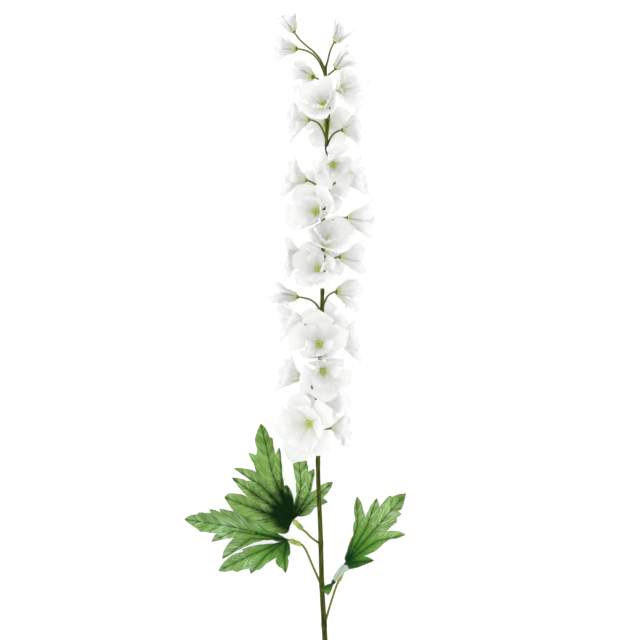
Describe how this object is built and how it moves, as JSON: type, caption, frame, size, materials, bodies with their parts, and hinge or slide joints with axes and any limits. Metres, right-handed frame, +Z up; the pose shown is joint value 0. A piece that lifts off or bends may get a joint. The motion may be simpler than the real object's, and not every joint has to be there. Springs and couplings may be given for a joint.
{
  "type": "artificial delphinium spray",
  "caption": "Single white delphinium spray of cut fabric: a bare moulded stem with cut leaves low down and a tall spike of ruffled five-petal blooms, laid on its back.",
  "frame": {"origin": "centre of the bounding box's bottom, on the surface the spray lies on", "axes": "+Y along the spray from the cut end to the tip, +Z up away from the surface, +X across to the right"},
  "size_m": [0.2236, 0.7346, 0.0885],
  "materials": {
    "petal": "matte woven polyester",
    "eye": "satin moulded",
    "stem": "satin moulded",
    "leaf": "coated printed polyester",
    "collar": "satin moulded"
  },
  "bodies": {
    "root": {"collar_lower_left": "collar", "collar_right": "collar", "collar_upper_left": "collar", "eye_06": "eye", "eye_07": "eye", "eye_08": "eye", "eye_10": "eye", "eye_11": "eye", "eye_12": "eye", "eye_13": "eye", "eye_15": "eye", "eye_16": "eye", "eye_17": "eye", "eye_18": "eye", "eye_19": "eye", "eye_21": "eye", "eye_23": "eye", "eye_24": "eye", "eye_26": "eye", "eye_27": "eye", "eye_28": "eye", "eye_29": "eye", "eye_31": "eye", "eye_32": "eye", "floret_01": "petal", "floret_02": "petal", "floret_03": "petal", "floret_04": "petal", "floret_05": "petal", "floret_06": "petal", "floret_07": "petal", "floret_08": "petal", "floret_09": "petal", "floret_10": "petal", "floret_11": "petal", "floret_12": "petal", "floret_13": "petal", "floret_14": "petal", "floret_15": "petal", "floret_16": "petal", "floret_17": "petal", "floret_18": "petal", "floret_19": "petal", "floret_20": "petal", "floret_21": "petal", "floret_22": "petal", "floret_23": "petal", "floret_24": "petal", "floret_25": "petal", "floret_26": "petal", "floret_27": "petal", "floret_28": "petal", "floret_29": "petal", "floret_30": "petal", "floret_31": "petal", "floret_32": "petal", "leaf_lower_left": "leaf", "leaf_right": "leaf", "leaf_upper_left": "leaf", "stem": "stem"}
  },
  "joints": []
}
